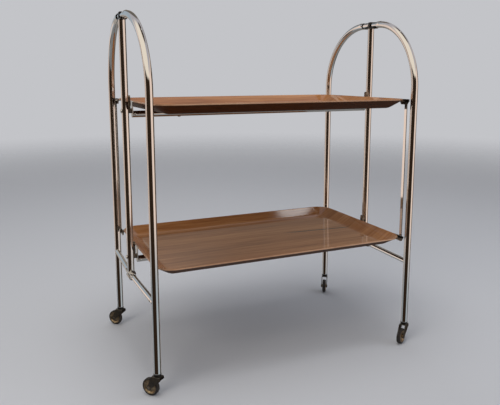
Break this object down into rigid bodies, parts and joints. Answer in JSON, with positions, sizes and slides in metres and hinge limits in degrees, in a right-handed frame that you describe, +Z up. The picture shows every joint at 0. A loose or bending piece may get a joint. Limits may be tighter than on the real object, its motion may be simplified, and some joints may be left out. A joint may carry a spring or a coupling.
{
  "type": "serving trolley",
  "caption": "Folding serving trolley with shallow wood-grain trays between bent chromed tube end frames on swivelling castors.",
  "frame": {"origin": "on the floor, midway between the end posts and midway between the front and rear legs", "axes": "+X along the trays to the right-hand end, +Y to the rear, +Z up"},
  "size_m": [0.6763, 0.4312, 0.7962],
  "materials": {
    "chromed_tube": "polished chrome plate",
    "teak_laminate": "semi-gloss teak-grain laminate",
    "black_enamel": "black enamel, satin",
    "blackened_steel": "darkened plated steel",
    "bronzed_steel": "bronzed pressed steel",
    "rubber_tyre": "black rubber"
  },
  "bodies": {
    "front_left_castor_body": {"front_left_castor_axle": "blackened_steel", "front_left_castor_fork": "black_enamel"},
    "front_left_wheel_body": {"front_left_castor_disc": "bronzed_steel", "front_left_castor_tyre": "rubber_tyre"},
    "front_left_wing": {"front_left_cross_bar": "chromed_tube", "front_left_ferrule": "black_enamel", "front_left_leg_tube": "chromed_tube", "front_left_top_knuckle": "chromed_tube"},
    "front_right_castor_body": {"front_right_castor_axle": "blackened_steel", "front_right_castor_fork": "black_enamel"},
    "front_right_wheel_body": {"front_right_castor_disc": "bronzed_steel", "front_right_castor_tyre": "rubber_tyre"},
    "front_right_wing": {"front_right_cross_bar": "chromed_tube", "front_right_ferrule": "black_enamel", "front_right_leg_tube": "chromed_tube", "front_right_top_knuckle": "chromed_tube"},
    "front_right_link_body": {"front_right_link": "chromed_tube"},
    "end_posts": {"left_bottom_bracket": "black_enamel", "left_lower_post_ear": "blackened_steel", "left_post": "chromed_tube", "left_top_bracket": "black_enamel", "left_upper_post_ear": "blackened_steel", "rear_left_cross_bar": "chromed_tube", "rear_left_ferrule": "black_enamel", "rear_left_leg_tube": "chromed_tube", "rear_left_top_knuckle": "chromed_tube", "rear_right_cross_bar": "chromed_tube", "rear_right_ferrule": "black_enamel", "rear_right_leg_tube": "chromed_tube", "rear_right_top_knuckle": "chromed_tube", "right_bottom_bracket": "black_enamel", "right_lower_post_ear": "blackened_steel", "right_post": "chromed_tube", "right_top_bracket": "black_enamel", "right_upper_post_ear": "blackened_steel"},
    "lower_tray_body": {"lower_front_right_plate": "blackened_steel", "lower_left_pivot_pin": "chromed_tube", "lower_left_strap": "chromed_tube", "lower_rail": "chromed_tube", "lower_rear_left_plate": "blackened_steel", "lower_right_pivot_pin": "chromed_tube", "lower_right_strap": "chromed_tube", "lower_tray": "teak_laminate"},
    "rear_left_castor_body": {"rear_left_castor_axle": "blackened_steel", "rear_left_castor_fork": "black_enamel"},
    "rear_left_wheel_body": {"rear_left_castor_disc": "bronzed_steel", "rear_left_castor_tyre": "rubber_tyre"},
    "rear_left_link_body": {"rear_left_link": "chromed_tube"},
    "rear_right_castor_body": {"rear_right_castor_axle": "blackened_steel", "rear_right_castor_fork": "black_enamel"},
    "rear_right_wheel_body": {"rear_right_castor_disc": "bronzed_steel", "rear_right_castor_tyre": "rubber_tyre"},
    "upper_tray_body": {"upper_front_right_plate": "blackened_steel", "upper_left_pivot_pin": "chromed_tube", "upper_left_strap": "chromed_tube", "upper_rail": "chromed_tube", "upper_rear_left_plate": "blackened_steel", "upper_right_pivot_pin": "chromed_tube", "upper_right_strap": "chromed_tube", "upper_tray": "teak_laminate"}
  },
  "joints": [
    {"name": "upper_tray_tilt", "type": "hinge", "parent": "end_posts", "child": "upper_tray_body", "pos_m": [0, 0, 0.583], "axis": [-1, 0, 0], "range_deg": [0, 80]},
    {"name": "lower_tray_tilt", "type": "hinge", "parent": "end_posts", "child": "lower_tray_body", "pos_m": [0, 0, 0.248], "axis": [-1, 0, 0], "range_deg": [0, 80]},
    {"name": "front_right_link_pivot", "type": "hinge", "parent": "upper_tray_body", "child": "front_right_link_body", "pos_m": [0.3104, -0.17, 0.598], "axis": [-1, 0, 0], "range_deg": [-80, 0]},
    {"name": "rear_left_link_pivot", "type": "hinge", "parent": "upper_tray_body", "child": "rear_left_link_body", "pos_m": [-0.3104, 0.17, 0.598], "axis": [-1, 0, 0], "range_deg": [-80, 0]},
    {"name": "front_left_wing_hinge", "type": "hinge", "parent": "end_posts", "child": "front_left_wing", "pos_m": [-0.3235, -0.018, 0.5], "axis": [0, 0, 1], "range_deg": [0, 52]},
    {"name": "front_right_wing_hinge", "type": "hinge", "parent": "end_posts", "child": "front_right_wing", "pos_m": [0.3235, -0.018, 0.5], "axis": [0, 0, -1], "range_deg": [0, 52]},
    {"name": "front_left_castor_swivel", "type": "hinge", "parent": "front_left_wing", "child": "front_left_castor_body", "pos_m": [-0.316, -0.191, 0.045], "axis": [0, 0, 1], "continuous": true},
    {"name": "front_left_wheel_spin", "type": "hinge", "parent": "front_left_castor_body", "child": "front_left_wheel_body", "pos_m": [-0.32725, -0.17893, 0.019], "axis": [-0.7314, -0.682, 0], "continuous": true},
    {"name": "front_right_castor_swivel", "type": "hinge", "parent": "front_right_wing", "child": "front_right_castor_body", "pos_m": [0.316, -0.191, 0.045], "axis": [0, 0, 1], "continuous": true},
    {"name": "front_right_wheel_spin", "type": "hinge", "parent": "front_right_castor_body", "child": "front_right_wheel_body", "pos_m": [0.30171, -0.19925, 0.019], "axis": [0.5, -0.866, 0], "continuous": true},
    {"name": "rear_left_castor_swivel", "type": "hinge", "parent": "end_posts", "child": "rear_left_castor_body", "pos_m": [-0.316, 0.191, 0.045], "axis": [0, 0, 1], "continuous": true},
    {"name": "rear_left_wheel_spin", "type": "hinge", "parent": "rear_left_castor_body", "child": "rear_left_wheel_body", "pos_m": [-0.32725, 0.20307, 0.019], "axis": [-0.7314, -0.682, 0], "continuous": true},
    {"name": "rear_right_castor_swivel", "type": "hinge", "parent": "end_posts", "child": "rear_right_castor_body", "pos_m": [0.316, 0.191, 0.045], "axis": [0, 0, 1], "continuous": true},
    {"name": "rear_right_wheel_spin", "type": "hinge", "parent": "rear_right_castor_body", "child": "rear_right_wheel_body", "pos_m": [0.30677, 0.17732, 0.019], "axis": [0.829, -0.5592, 0], "continuous": true}
  ],
  "couplings": [
    {"joint": "lower_tray_tilt", "follows": "upper_tray_tilt", "ratio": 1},
    {"joint": "front_right_link_pivot", "follows": "upper_tray_tilt", "ratio": -1},
    {"joint": "rear_left_link_pivot", "follows": "upper_tray_tilt", "ratio": -1},
    {"joint": "front_left_wing_hinge", "follows": "upper_tray_tilt", "ratio": 0.65},
    {"joint": "front_right_wing_hinge", "follows": "upper_tray_tilt", "ratio": 0.65}
  ]
}
